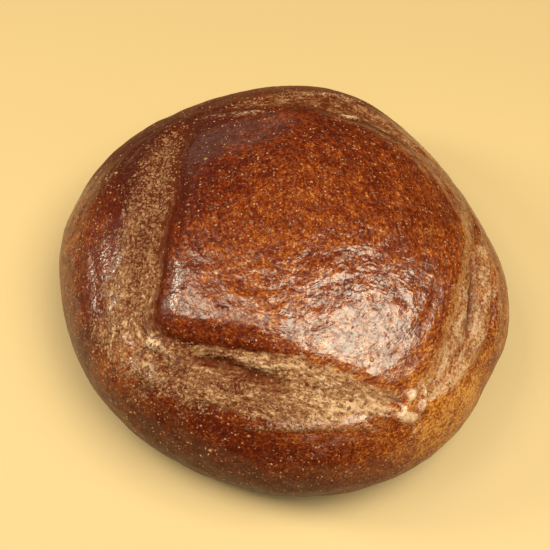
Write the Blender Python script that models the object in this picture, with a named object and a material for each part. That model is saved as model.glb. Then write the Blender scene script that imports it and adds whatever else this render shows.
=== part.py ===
"""Whole wheat hearth loaf, in metres, +Z up.

One solid: a low round loaf, baked on a flat deck. Its dome was cut in a square before baking, and each
cut has torn open into a broad shallow band, so that the middle stands over the bands as a lid with a
steep lip. The loaf rests on its flat base at Z = 0, and the origin is below the middle of its box.
"""

from math import atan2, cos, exp, hypot, pi, radians, sin, sqrt

import bmesh
import bpy
from mathutils import Vector

# The whole loaf
BELLY_RADIUS = 0.1207  # mean radius where it is widest
HEIGHT = 0.0905
BELLY_HEIGHT = 0.0325  # the widest line's height above the base
FOOT_SHARE = 0.74  # radius of the flat base as a share of the belly's
SHOULDER = 2.3  # 2 is an ellipse, more is a flatter top with squarer shoulders

# How the outline departs from a circle: lobes round it, share of the radius, heading of one lobe
LOBES = (
    (2, 0.035, radians(-53)),
    (3, 0.020, radians(-46)),
    (4, 0.014, radians(-18)),
    (5, 0.009, radians(-1)),
)

# Narrow dents and swellings of the outline: heading, half width as an angle, share of the radius
DENTS = (
    (radians(-33), radians(10), -0.018),
    (radians(11), radians(9), -0.010),
    (radians(55), radians(9), -0.008),
    (radians(171), radians(9), 0.010),
)

# Soft unevenness of the skin: size, waves per metre along X and Y, and phase
SWELLS = (
    (0.0006, 8, 5, 0.4),
    (0.0004, -7, 13, 1.9),
    (0.0003, 18, 11, 4.1),
)

# The four torn cuts, clockwise seen from above. Each runs from start to end in plan, bowed outwards at
# the middle, and is widest and deepest at peak, a share of its length.
CUTS = {
    "left": {
        "start": (-0.055, 0.074), "end": (-0.071, -0.069), "bow": 0.007,
        "width": 0.031, "depth": 0.0058, "lip": 0.0022, "peak": 0.42,
    },
    "front": {
        "start": (-0.064, -0.066), "end": (0.060, -0.092), "bow": 0.0045,
        "width": 0.033, "depth": 0.0052, "lip": 0.0020, "peak": 0.42,
    },
    "right": {
        "start": (0.061, -0.091), "end": (0.100, 0.018), "bow": 0.0145,
        "width": 0.025, "depth": 0.0040, "lip": 0.0010, "peak": 0.45,
    },
    "back": {
        "start": (-0.032, 0.071), "end": (0.080, 0.061), "bow": 0.0165,
        "width": 0.023, "depth": 0.0036, "lip": 0.0010, "peak": 0.60,
    },
}
END_WIDTH = 0.35  # a cut's width where it runs out, as a share of its width at the peak
WALL_SHARE = 0.24  # share of a cut's width taken by the steep wall under the lid's lip
FLOOR_END = 1.05  # where a cut's floor meets the crust again, as a share of its width
LIP_PLACE = -0.14  # middle of the lid's lip, as a share of the cut's width, inwards of the cut
LIP_SPREAD = 0.17
RIM_PLACE = 1.08  # middle of the outer rim, as a share of the cut's width
RIM_SPREAD = 0.14
FADE_SHARE = 0.16  # share of a cut's length over which each end runs out
CUT_TAPER = 1.6  # how fast a cut narrows and grows shallow away from its peak
RIM_HEIGHT = 0.0012  # a cut's outer edge stands this much above the crust

# The second tear, in the front cut, with a tongue of dough between it and the lip
TEAR_START = (-0.055, -0.064)
TEAR_END = (0.022, -0.085)
TEAR_BOW = 0.003
TEAR_WIDTH = 0.0055
TEAR_DEPTH = 0.0030

# Pinched knobs of dough at the corners, where two cuts meet: X, Y, radius, height
KNOBS = (
    (-0.063, -0.059, 0.0060, 0.0034),
    (0.062, -0.084, 0.0060, 0.0030),
    (0.058, -0.094, 0.0055, 0.0028),
)

# Where the relief fades out, down the side of the loaf
CUT_FADE = 0.015  # height above the belly over which the cuts gain their full depth
SKIN_FADE = (0.004, 0.020)  # heights above the base between which the skin's unevenness sets in

# Mesh density
AROUND = 116
DOME_RINGS = 33
UNDER_RINGS = 8
RING_CROWDING = 0.35  # how much closer the dome's rings lie in its middle zone, where the cuts are

CRUST_COLOUR = (0.150, 0.045, 0.018, 1.0)
CRUST_ROUGHNESS = 0.42
MERGE = 1e-6  # points closer than this become one


def clear_scene():
    for thing in list(bpy.data.objects):
        bpy.data.objects.remove(thing)


def smooth_step(low, high, value):
    """0 below low, 1 above high, and an S curve between."""
    share = min(1.0, max(0.0, (value - low) / (high - low)))
    return share * share * (3 - 2 * share)


def bump(value):
    """A bell of height 1 round zero."""
    return exp(-value * value)


def outline(heading):
    """The loaf's radius at a heading, as a share of the mean radius."""
    lobes = sum(size * cos(count * (heading - first)) for count, size, first in LOBES)
    dents = sum(size * bump(2 * sin((heading - at) / 2) / wide) for at, wide, size in DENTS)
    return 1 + lobes + dents


def dome_profile():
    """(share of radius, height) from the top of the dome down to the belly, on a superellipse."""
    points = []
    for ring in range(DOME_RINGS + 1):
        share = ring / DOME_RINGS
        turn = pi / 2 * (share + RING_CROWDING * sin(2 * pi * share) / (2 * pi))
        height = BELLY_HEIGHT + (HEIGHT - BELLY_HEIGHT) * cos(turn)
        points.append((sin(turn) ** (2 / SHOULDER), height))
    return points


def under_profile():
    """(share of radius, height) from below the belly to the flat base, on a quarter of an ellipse."""
    points = []
    for ring in range(1, UNDER_RINGS + 1):
        turn = pi / 2 * ring / UNDER_RINGS
        share = FOOT_SHARE + (1 - FOOT_SHARE) * cos(turn)
        points.append((share, BELLY_HEIGHT * (1 - sin(turn))))
    return points


def along_and_across(place, start, end, bow):
    """Where a plan point lies on a bowed line: its share of the length, and its distance outwards."""
    chord = Vector(end) - Vector(start)
    across = Vector((chord.y, -chord.x)).normalized()
    if across.dot(Vector(start) + Vector(end)) < 0:
        across.negate()
    offset = Vector(place) - Vector(start)
    share = offset.dot(chord) / chord.length_squared
    return share, offset.dot(across) - bow * 4 * share * (1 - share)


def cut_strength(share, peak):
    """1 at the peak of a cut, falling gently along it, and quickly to 0 at its ends."""
    ends = smooth_step(0, FADE_SHARE, share) * smooth_step(0, FADE_SHARE, 1 - share)
    return ends * (1 - CUT_TAPER * (share - peak) ** 2)


def cut_relief(place, cut):
    """Height that one torn cut adds to the skin: lid lip, steep wall, floor rising outwards, rim."""
    share, distance = along_and_across(place, cut["start"], cut["end"], cut["bow"])
    if not 0 < share < 1:
        return 0.0
    strength = cut_strength(share, cut["peak"])
    width = cut["width"] * (END_WIDTH + (1 - END_WIDTH) * strength)
    across = distance / width + 0.5
    wall = smooth_step(0, WALL_SHARE, across)
    floor = 1 - smooth_step(WALL_SHARE, FLOOR_END, across)
    lip = cut["lip"] * bump((across - LIP_PLACE) / LIP_SPREAD)
    rim = RIM_HEIGHT * bump((across - RIM_PLACE) / RIM_SPREAD)
    return strength * (lip + rim - cut["depth"] * wall * floor)


def tear_relief(place):
    """Depth of the second tear, a narrow groove that fades at both ends."""
    share, distance = along_and_across(place, TEAR_START, TEAR_END, TEAR_BOW)
    if not 0 < share < 1:
        return 0.0
    return -TEAR_DEPTH * sqrt(sin(pi * share)) * bump(distance / (TEAR_WIDTH / 2))


def knob_relief(place):
    return sum(height * bump(hypot(place[0] - x, place[1] - y) / radius) for x, y, radius, height in KNOBS)


def swell_relief(place):
    return sum(size * sin(2 * pi * (fx * place[0] + fy * place[1]) + phase) for size, fx, fy, phase in SWELLS)


def relief(place, height):
    """All that stands on or sinks into the skin. It fades out under the belly, towards the base."""
    cuts = sum(cut_relief(place, cut) for cut in CUTS.values())
    upper = smooth_step(BELLY_HEIGHT, BELLY_HEIGHT + CUT_FADE, height)
    skin = smooth_step(*SKIN_FADE, height)
    return upper * (cuts + tear_relief(place) + knob_relief(place)) + skin * swell_relief(place)


def spin_profile(body):
    """Spins the profile, with the mean radius at the belly, and closes it at the top and the base."""
    profile = dome_profile() + under_profile() + [(0.0, 0.0)]
    points = [body.verts.new((share * BELLY_RADIUS, 0, height)) for share, height in profile]
    edges = [body.edges.new(pair) for pair in zip(points, points[1:])]
    bmesh.ops.spin(body, geom=points + edges, cent=(0, 0, 0), axis=(0, 0, 1), angle=2 * pi, steps=AROUND)
    bmesh.ops.remove_doubles(body, verts=body.verts, dist=MERGE)
    bmesh.ops.recalc_face_normals(body, faces=body.faces)


def shape_outline(body):
    for point in body.verts:
        point.co.xy *= outline(atan2(point.co.y, point.co.x))


def raise_relief(body):
    """Moves each point of the skin along its normal by the relief there."""
    body.normal_update()
    moves = [point.normal * relief(point.co.xy, point.co.z) for point in body.verts]
    for point, move in zip(body.verts, moves):
        point.co += move


def centre_on_base(body):
    """Puts the middle of the box over the origin."""
    xs = [point.co.x for point in body.verts]
    ys = [point.co.y for point in body.verts]
    middle = Vector(((min(xs) + max(xs)) / 2, (min(ys) + max(ys)) / 2, 0))
    bmesh.ops.translate(body, verts=body.verts, vec=-middle)


def crust_material():
    material = bpy.data.materials.new("crust")
    material.use_nodes = True
    shader = material.node_tree.nodes["Principled BSDF"]
    shader.inputs["Base Color"].default_value = CRUST_COLOUR
    shader.inputs["Roughness"].default_value = CRUST_ROUGHNESS
    shader.inputs["Metallic"].default_value = 0.0
    return material


def build_loaf():
    body = bmesh.new()
    spin_profile(body)
    shape_outline(body)
    raise_relief(body)
    centre_on_base(body)
    mesh = bpy.data.meshes.new("loaf")
    body.to_mesh(mesh)
    body.free()
    mesh.shade_smooth()
    mesh.materials.append(crust_material())
    loaf = bpy.data.objects.new("loaf", mesh)
    bpy.context.scene.collection.objects.link(loaf)


clear_scene()
build_loaf()
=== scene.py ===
# %% [markdown]
# # A whole wheat hearth loaf
# This lesson dresses one solid, a plain round loaf, as real bread. The solid gives the size. Everything
# that makes it look baked is made here: a finely wrinkled glossy crust, four cuts that tore open in the
# oven, dark creases, pinched corners, bran flakes and coarse crumb.

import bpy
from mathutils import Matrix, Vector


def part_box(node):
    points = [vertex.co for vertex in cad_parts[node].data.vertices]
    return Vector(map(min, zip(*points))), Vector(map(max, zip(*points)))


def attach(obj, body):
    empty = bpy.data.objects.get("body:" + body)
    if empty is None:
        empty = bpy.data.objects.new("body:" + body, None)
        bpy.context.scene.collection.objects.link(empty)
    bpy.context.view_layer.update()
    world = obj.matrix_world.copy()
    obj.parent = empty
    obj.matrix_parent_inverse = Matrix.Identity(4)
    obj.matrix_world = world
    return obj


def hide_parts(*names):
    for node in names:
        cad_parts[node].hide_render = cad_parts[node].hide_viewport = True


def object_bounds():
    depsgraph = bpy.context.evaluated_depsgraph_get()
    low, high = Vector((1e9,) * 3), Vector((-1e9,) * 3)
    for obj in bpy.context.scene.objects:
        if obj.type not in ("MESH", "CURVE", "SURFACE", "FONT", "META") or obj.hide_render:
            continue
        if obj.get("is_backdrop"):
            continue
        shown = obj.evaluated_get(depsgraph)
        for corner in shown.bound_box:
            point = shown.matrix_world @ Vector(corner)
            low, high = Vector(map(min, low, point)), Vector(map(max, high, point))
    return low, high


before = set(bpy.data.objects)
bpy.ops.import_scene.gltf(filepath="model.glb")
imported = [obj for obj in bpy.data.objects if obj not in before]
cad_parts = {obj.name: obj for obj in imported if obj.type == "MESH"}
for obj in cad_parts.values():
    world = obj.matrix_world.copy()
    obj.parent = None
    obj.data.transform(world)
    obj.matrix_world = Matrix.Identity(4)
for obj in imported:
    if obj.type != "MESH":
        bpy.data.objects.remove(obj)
cad_low, cad_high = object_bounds()
print("solid:", [round(side * 1000, 1) for side in cad_high - cad_low], "mm")

# %% [markdown]
# ## Tools for noise
# Dough has no straight lines: each surface is disturbed by soft random noise. A lattice of random numbers,
# blended smoothly from one lattice point to the next, gives bumps of a chosen size anywhere in space.
# Working on whole numpy arrays makes this quick, even for a hundred thousand points.

import bpy
import numpy as np
from mathutils import Vector

MM = 0.001


def scramble(cells, seed):
    """A repeatable random number from 0 to 1 for each cell: its three whole numbers are multiplied by large
    primes and mixed, and then the high bits are folded twice onto the low ones."""
    mixed = cells.astype(np.int64) @ np.array((73856093, 19349663, 83492791)) + seed * 40503
    mixed = mixed & 0xFFFFFFFF
    for step, factor in ((15, 2246822519), (13, 3266489917)):
        mixed = ((mixed ^ (mixed >> step)) * factor) & 0xFFFFFFFF
    return (mixed ^ (mixed >> 16)) / 0xFFFFFFFF


def smooth(low, high, value):
    """0 below low, 1 above high, and the S curve 3u^2 - 2u^3 between."""
    share = np.clip((value - low) / (high - low), 0, 1)
    return share * share * (3 - 2 * share)


def bell(value):
    """A bell of height 1 round zero: e to the power of minus the square."""
    return np.exp(-value * value)


def spot(distance, radius):
    """A bell over a distance, for a radius in mm."""
    return bell(distance / (radius * MM))


def rise(low, high, distance):
    """The same S curve, between two distances in mm."""
    return smooth(low * MM, high * MM, distance)


def noise(points, size, seed):
    """Soft noise from -1 to 1 with bumps of about a size in mm: the random numbers at the eight corners of
    each point's lattice cell, weighted by an S curve along each axis."""
    place = points / (size * MM)
    cell = np.floor(place)
    part = place - cell
    part = part * part * (3 - 2 * part)
    total = np.zeros(len(points))
    for corner in np.ndindex(2, 2, 2):
        corner = np.array(corner)
        weight = np.where(corner, part, 1 - part).prod(1)
        total += weight * scramble(cell + corner, seed)
    return 2 * total - 1


def grains(points, size, seed):
    """Distance to the nearest of many scattered centres, one to each lattice cell of a size in mm, in cell
    sizes, and that centre's own random number. The cells round each point are searched."""
    place = points / (size * MM)
    cell = np.floor(place)
    nearest = np.full(len(points), 9.0)
    chosen = np.zeros(len(points))
    for step in np.ndindex(3, 3, 3):
        home = cell + np.array(step) - 1
        centre = home + np.stack([scramble(home, seed + axis) for axis in range(3)], 1)
        distance = np.linalg.norm(place - centre, axis=1)
        closer = distance < nearest
        nearest = np.where(closer, distance, nearest)
        chosen = np.where(closer, scramble(home, seed + 9), chosen)
    return nearest, chosen


# %% [markdown]
# ## The plain loaf
# A hearth loaf is proved round and baked on a flat deck. It spreads into a low dome, rolls under at the
# side, and is flat where it stood. The side view is one curve: a superellipse from the top to the belly,
# then a quarter of an ellipse in to the foot. The plan is a circle pushed out of true by a few lobes.

# %% Side view and outline
LOBES = ((2, 0.035, -53), (3, 0.020, -46), (4, 0.014, -18), (5, 0.009, -1))  # count, share, heading
DENTS = ((-33, 10, -0.018), (11, 9, -0.010), (55, 9, -0.008), (171, 9, 0.010))  # heading, half width, share
BELLY_SHARE = 0.36  # height of the widest line, as a share of the loaf's
FOOT_SHARE = 0.74  # radius of the foot, as a share of the belly's
SHOULDER = 2.3  # 2 is an ellipse, more is squarer
ROOM = 0.4 * MM  # left between the plain loaf and the solid's box, for the skin's unevenness


def outline(heading):
    """The radius at a heading, as a share of the mean: 1, plus one cosine for each kind of lobe, plus one
    narrow bell for each dent, whose place is compared with the heading on the short way round."""
    lobes = sum(size * np.cos(n * (heading - np.radians(at))) for n, size, at in LOBES)
    dents = sum(size * bell(2 * np.sin((heading - np.radians(at)) / 2) / np.radians(wide))
                for at, wide, size in DENTS)
    return 1 + lobes + dents


turn_round = np.linspace(0, 2 * np.pi, 2000)
unit_x = outline(turn_round) * np.cos(turn_round)
unit_y = outline(turn_round) * np.sin(turn_round)
low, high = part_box("loaf")
radius = min((high.x - low.x) / np.ptp(unit_x), (high.y - low.y) / np.ptp(unit_y)) - ROOM
height = high.z - low.z - ROOM
middle = -radius * np.array(((unit_x.max() + unit_x.min()) / 2, (unit_y.max() + unit_y.min()) / 2))
print(f"mean radius {radius / MM:.1f} mm, height {height / MM:.1f} mm, middle at {middle / MM} mm")

# %% The plain loaf as a surface
SLOPE_STEP = 1e-4  # how far apart two places are taken, to measure a slope between them


def side_view(turn):
    """(share of radius, height) for a turn of 0 at the top, 1 at the belly and 2 at the foot's edge. Above
    the belly, share^2.3 + height^2 = 1. Below it, a quarter of an ellipse runs in to the foot."""
    upper = np.clip(turn, 0, 1) * np.pi / 2
    under = np.clip(turn - 1, 0, 1) * np.pi / 2
    share = np.sin(upper) ** (2 / SHOULDER) - (1 - FOOT_SHARE) * (1 - np.cos(under))
    level = BELLY_SHARE + (1 - BELLY_SHARE) * np.cos(upper) - BELLY_SHARE * np.sin(under)
    return share, height * level


def plain_loaf(turn, heading):
    """Points of the plain loaf, round its own middle: the side view carried round the outline."""
    share, level = side_view(turn)
    reach = radius * share * outline(heading)
    return np.stack([reach * np.cos(heading), reach * np.sin(heading), level], 1)


def outward(turn, heading):
    """Unit normals of the plain loaf: the cross product of its slopes along turn and along heading."""
    turn = np.clip(turn, 2 * SLOPE_STEP, 2)
    down = plain_loaf(turn + SLOPE_STEP, heading) - plain_loaf(turn - SLOPE_STEP, heading)
    along = plain_loaf(turn, heading + SLOPE_STEP) - plain_loaf(turn, heading - SLOPE_STEP)
    normal = np.cross(down, along)
    return normal / np.linalg.norm(normal, axis=1)[:, None]


# %% [markdown]
# ## One grid over the whole dome
# A globe's grid crowds its points at the pole. Here a square grid is drawn out to a disc instead, square
# ring by square ring, so that all cells come out much alike. The rings lie closest where the cuts are.
# The same square serves as the map for painting, so the dome has no seam in it.

# %% A square grid drawn out to a disc
CELLS = 300  # along each side of the square, an even number
RING_SHARES = (0.0, 0.24, 0.77, 1.0)  # rings of the square, as shares of all
RING_REACHES = (0.0, 0.27, 0.62, 1.0)  # where they lie on the side view, as shares of its length

steps = np.linspace(-1, 1, CELLS + 1)
east, north = (side.ravel() for side in np.meshgrid(steps, steps))
ring = np.maximum(abs(east), abs(north))
with np.errstate(divide="ignore", invalid="ignore"):
    sideways = np.where(abs(east) >= abs(north), north / east, 2 - east / north)
flip = np.where(abs(east) >= abs(north), east < 0, north < 0)
heading = np.nan_to_num(sideways * np.pi / 4 + np.pi * flip)

fine_turn = np.linspace(0, 2, 4000)
fine_share, fine_level = side_view(fine_turn)
lengths = np.hypot(np.diff(fine_share * radius), np.diff(fine_level))
run = np.concatenate([[0], np.cumsum(lengths)])
turn = np.interp(np.interp(ring, RING_SHARES, RING_REACHES) * run[-1], run, fine_turn)
skin = plain_loaf(turn, heading)
normal = outward(turn, heading)
print(f"{len(skin)} points on the dome, {run[-1] / MM:.0f} mm from the top to the foot")

# %% [markdown]
# ## Four torn cuts
# The baker slashes the dough in a square. In the oven the loaf swells, each cut opens into a band of bare
# crumb, and the middle is left as a lid. The lid's outline is four bowed lines. Each gives a distance
# outside it, and the smooth maximum of the four is the distance outside the lid, with rounded corners.
# Where the lid pulled free, a steep wall drops to a crease, painted dark with shade. Elsewhere the skin only
# stretched.

# %% The lid's four sides
SIDES = {  # for the left, front, right and back side: places and sizes in mm, the rest in shares
    "start": ((-51, 74), (-62, -58), (60, -88), (95, 43)),
    "end": ((-62, -58), (60, -88), (95, 43), (-51, 74)),
    "bow": (-4, -5, 10, 18),
    "width": (30, 32, 21, 21),
    "depth": (4.6, 4.4, 2.4, 2.6),
    "lip": (1.1, 1.4, 0.3, 0.8),
    "blend": (20, 11, 6, 6),  # how softly the band's outer edge fades into crust
    "peak": (0.52, 0.42, 0.36, 0.52),  # share of the length at which it is widest
    "point": (1.2, 1.6, 1.8, 3.4),  # how fast it narrows away from there
    "ends": ((0.35, 0.58), (0.55, 0.12), (0.10, 0.10), (0.05, 0.05)),  # shares of the width left at the ends
    "steep": ((0.42, 1.3), (-0.3, 0.46), (3.0, 4.0), (0.12, 0.60)),  # where it pulled free, along its length
    "stretch": (0.0, 0.0, 1.0, 0.15),  # how far the skin stretched without tearing
    # gloom sets how broad and dark the painted shade in the crease beside the lid is
    "gloom": (1.0, 0.3, 0.0, 0.3),  # how broad and dark the crease beside the lid is
    "coarse": (1.0, 0.95, 0.95, 0.9),
    "bared": (1.0, 1.0, 0.52, 0.75),  # how much of the band is bare crumb
}
BOW_REACH = (-0.3, 1.3)  # shares of a line's length between which it keeps on bending


def along_bow(start, end, bow):
    """Where each point lies on a bowed line in plan: its share of the length and its distance outwards, and
    then the outward direction and the length. The line is its chord pushed outwards by bow times 4s(1 - s).
    """
    start, end = np.array(start) * MM, np.array(end) * MM
    chord = end - start
    length = np.linalg.norm(chord)
    out = np.array((chord[1], -chord[0])) / length
    out = out * np.sign(out @ (start + end))
    offset = skin[:, :2] - start
    share = offset @ chord / length**2
    bent = np.clip(share, *BOW_REACH)
    return share, offset @ out - bow * MM * (4 * bent * (1 - bent)), out, length


def opening(share, peak, point):
    """How far a cut has opened along its length: (s / p)^(kp) times ((1 - s) / (1 - p))^(k(1 - p)), which is
    1 at the peak p and 0 at both ends. A larger k makes the ends more pointed."""
    inside = np.clip(share, 0, 1)
    return (inside / peak) ** (point * peak) * ((1 - inside) / (1 - peak)) ** (point * (1 - peak))


def between(low, high, soft, value):
    """1 from low to high and 0 outside, with an S curve at each end."""
    return smooth(low - soft, low + soft, value) * (1 - smooth(high - soft, high + soft, value))


# %% Distance outside the lid
CORNER = 6.5 * MM  # how softly two sides meet

ragged = 1.5 * MM * noise(skin, 15, 3) + 0.7 * MM * noise(skin, 5, 4)
spread = 1.8 * MM * noise(skin, 13, 5) + 1.8 * MM * noise(skin, 4, 6)
found = [along_bow(*line) for line in zip(SIDES["start"], SIDES["end"], SIDES["bow"])]
distances = np.stack([distance for _, distance, _, _ in found])
pull = np.exp(np.clip(distances / CORNER, -40, 40))
side_share = pull / pull.sum(0)
from_lip = CORNER * np.log(pull.sum(0)) + ragged
outwards = sum(share[:, None] * out for share, (_, _, out, _) in zip(side_share, found))
print(f"the lid covers {np.mean(from_lip < 0):.0%} of the points")

# %% Each point's share of each side
ALONG = 0.28  # the crumb's grain is drawn out along a band to over three times its width
STEEP_SOFT = 0.12  # share of a side's length over which its steep stretch begins and ends
COARSE_FALL, COARSE_LIMITS = 5, (0.68, 1.2)  # the crumb grows finer by this share a metre to the right

width, depth, lip, blend, stretch, gloom, coarse, bared = (
    sum(share * value for share, value in zip(side_share, SIDES[trait]))
    for trait in ("width", "depth", "lip", "blend", "stretch", "gloom", "coarse", "bared")
)
open_share = np.zeros(len(skin))
steep = np.zeros(len(skin))
crumb_way = np.zeros((len(skin), 3))
for number, (near, (share, _, _, length)) in enumerate(zip(side_share, found)):
    peak, point, (first, last), free = (SIDES[trait][number] for trait in ("peak", "point", "ends", "steep"))
    ends = first + (last - first) * smooth(0.1, 0.9, share)
    open_share += near * (ends + (1 - ends) * opening(share, peak, point))
    steep += near * between(*free, STEEP_SOFT, share)
    way = np.stack([share * length * ALONG, from_lip, np.full(len(skin), 0.05 * number)], 1)
    crumb_way += way * (near > 0.5)[:, None]
width, depth, lip, blend = width * MM * open_share, depth * MM, lip * MM, blend * MM
coarse = coarse * np.clip(1 - COARSE_FALL * skin[:, 0], *COARSE_LIMITS)
deep = smooth(0.0, 0.6, open_share)
print(f"bands up to {width.max() / MM:.0f} mm wide")

# %% [markdown]
# ## Work out the relief of the skin
# The relief is one height for each point, pushed out along the normal. It adds up: the lid's rounded
# shoulder and the band beside it, narrow tears and folds, pinches where two cuts meet, the granular crumb,
# and the lumps and wrinkles of the glossy crust. Masks made on the way, such as how torn a point is,
# colour it later.

# %% Relief across a band
UPPER = (0.36, 0.52)  # shares of the height between which cuts, tears and folds gain their full size
FLOOR_START = 3.0 * MM  # how far outside the lip the band's floor begins
SHOULDER_PLACE, SHOULDER_SPREAD = -14.0 * MM, 11.0 * MM  # the swollen shoulder of the lid

upper = smooth(UPPER[0] * height, UPPER[1] * height, skin[:, 2])
wavy = 0.5 + noise(crumb_way, 5.0, 20)
steep_wall = 0.4 * rise(-8.0, 1.0, from_lip) + 0.6 * rise(-1.8, 2.6, from_lip)
wall = steep * steep_wall + 0.6 * (1 - steep) * rise(-5.0, 8.0, from_lip)
across = np.clip((from_lip - FLOOR_START) / np.maximum(width - FLOOR_START, 1 * MM), 0, 1.2)
floor_height = 1 - smooth(-0.25, 1.0, across)
folds = 0.40 * wavy * bell((across - 0.16) / 0.10) - 0.30 * wavy * bell((across - 0.42) / 0.13)
folds = (folds + 0.30 * (1.2 - wavy) * bell((across - 0.72) / 0.16)) * (across < 1.15)
bulge = steep * lip * bell((from_lip - SHOULDER_PLACE) / SHOULDER_SPREAD)
far_rim = 0.15 * lip * spot(from_lip - 1.03 * width, 3.0)
relief = deep * (bulge + far_rim - depth * wall * (floor_height - folds))

# %% Masks across a band: torn crumb, painted shade in the crease, lid's edge, stretched skin
inner = steep * rise(0.2, 2.0, from_lip) + (1 - steep) * rise(-3, 6, from_lip)
outer = 1 - smooth(-0.8, 0.2, (from_lip - width + spread) / blend)
torn = bared * inner * outer * smooth(0.05, 0.35, open_share)
steep_deep = steep * deep
# Painted shade: the crease below a lid that pulled free is darkened, and gloom spreads this shade wider.
crease_shade = steep_deep * spot(from_lip - 1.6 * MM, 0.9 + 1.3 * gloom)
shade = gloom * deep * (0.56 + 0.44 * steep) * spot(from_lip - 3 * MM + spread, 4)
crease_shade = np.maximum(crease_shade, shade)
lid_edge = steep_deep * rise(-9, -1, from_lip) * (from_lip < 2 * MM)
stretched = stretch * deep * spot(from_lip - 1.0 * MM + 0.5 * spread, 3.2)
# Painted light and shade: the crumb is made paler on the folds' crests and darker in their hollows.
fold_light_and_shade = folds * torn
lean = outwards * (steep_deep * lip * spot(from_lip - 0.3 * MM, 2.0))[:, None]
print(f"bands sink to {relief.min() / MM:.1f} mm, and the lid swells to {relief.max() / MM:.1f} mm")

# %% [markdown]
# Inside the bands the dough tore again, in narrow grooves that fade at both ends. Each is a bowed line with a
# bell across it. Its walls are roughened by noise, because dough tears along its strands. The bottom of a
# deep one is painted dark with shade.

# %% Narrow tears and torn patches
TEARS = (  # start, end, bow, width, depth in mm
    ((-50, -67.0), (2, -84), -1.5, 3.8, 3.9),
    ((-62, -70), (-46, -75), 0.0, 1.6, 1.4),
    ((95, -8), (90, -52), 1.5, 1.5, 2.8),
    ((101, 22), (98, -8), 1.0, 1.1, 1.6),
    ((105, -14), (98, -60), 2.0, 1.0, 1.2),
    ((-70, 24), (-70, -40), 4.0, 1.6, 0.8),
    ((4, -82), (50, -93), 1.0, 1.0, 0.9),
    ((46, -85), (57, -88), 0.5, 2.0, 2.0),
)
PATCHES = ((-77, -50, 13, 0.9), (-80, -30, 8, 0.7), (-66, -70, 9, 0.7))  # X, Y, radius in mm, amount
# Painted shade: a tear this deep in mm is fully darkened at its bottom.
SHADED_DEPTH = 2.5  # a tear this deep in mm is dark at the bottom


def fade_along(share, least, wobble):
    """Runs out at both ends as the square root of 4s(1 - s), and wavers a little along the way."""
    return np.sqrt(np.clip(4 * share * (1 - share), 0, 1)) * (least + 0.3 * wobble)


def in_plan(x, y):
    """Distance of each point from a place in plan, given in mm."""
    return np.hypot(skin[:, 0] - x * MM, skin[:, 1] - y * MM)


for start, end, bow, wide, sunk in TEARS:
    share, distance, _, _ = along_bow(start, end, bow)
    apart = distance + 0.7 * ragged + 0.28 * wide * MM * noise(skin, 2.6, 32)
    groove = fade_along(share, 0.9, noise(skin, 7, 31)) * spot(apart, wide)
    relief -= sunk * MM * groove
    # Painted shade at the bottom of each tear, darker the deeper it is.
    crease_shade = np.maximum(crease_shade, groove**1.2 * min(sunk / SHADED_DEPTH, 1))
for x, y, wide, amount in PATCHES:
    torn = np.maximum(torn, amount * spot(in_plan(x, y) + spread, wide))
print(f"{len(TEARS)} tears, {np.mean(crease_shade > 0.5):.1%} of the points lie in a dark crease")

# %% [markdown]
# Folds are ridges of dough that was pulled up beside a tear. They are steeper on one side, and their crests
# are painted pale: partly paler dough, partly a painted highlight.

# %% Raised folds
# How pale a fold is paints its crest paler, partly as dough and partly as a painted highlight.
FOLDS = (  # start, end, bow, width, height in mm, and how pale
    ((-18, -98), (50, -96), 2.0, 2.6, 1.5, 0.50),
    ((-46, 72), (-6, 73), 1.0, 2.0, 0.9, 0.4),
    ((-42, -64.5), (8, -77), 0.0, 3.0, 0.6, 0.35),
    ((105, 0), (105, -56), 3.0, 3.0, 1.2, 0.35),
    ((-6, 84), (66, 78), 13.0, 2.0, 0.9, 0.5),
    ((-66, -52), (-60, -63), 1.0, 3.2, 1.7, 0.7),
    ((-76, -48), (-72, -62), 1.0, 3.2, 1.3, 0.5),
    ((-62, -60), (-50, -72), -1.0, 1.8, 1.2, 0.5),
    ((-66, -62), (-60, -80), -1.0, 1.8, 1.2, 0.5),
    ((-82, -26), (-81, -52), 1.5, 3.4, 1.2, 0.5),
    ((65, -76), (64, -90), 2.5, 1.7, 1.9, 0.9),
    ((31, 75), (44, 73), 0.5, 3.0, 1.6, 1.4),
    ((-26, 71), (-11, 74), 0.5, 1.4, 0.6, 0.7),
)
FOLD_INNER, FOLD_OUTER = 1.7, 0.8  # how broad a fold's inner and outer slopes are, against its width

pinch = np.zeros(len(skin))
for start, end, bow, wide, tall, pale in FOLDS:
    share, distance, _, _ = along_bow(start, end, bow)
    apart = (distance + 0.5 * ragged) / (wide * MM)
    fade = fade_along(share, 0.85, noise(skin, 4, 33))
    fold = fade * smooth(-FOLD_INNER, 0, apart) * (1 - smooth(0, FOLD_OUTER, apart))
    relief += tall * MM * fold
    torn *= np.clip(1 - 0.7 * pale * fold, 0, 1)
    # Painted highlight, with paler dough, on the fold's crest.
    pinch = np.maximum(pinch, pale * fold)
print(f"{len(FOLDS)} folds, up to {max(row[4] for row in FOLDS)} mm tall")

# %% [markdown]
# Where two cuts meet, the dough is pinched into small knobs, and fine pleats fan out from the corner. Complex
# numbers make both easy: multiplied by a turn, an offset swings round onto the knob's own axis, and its angle
# says which pleat it is on.

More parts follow.
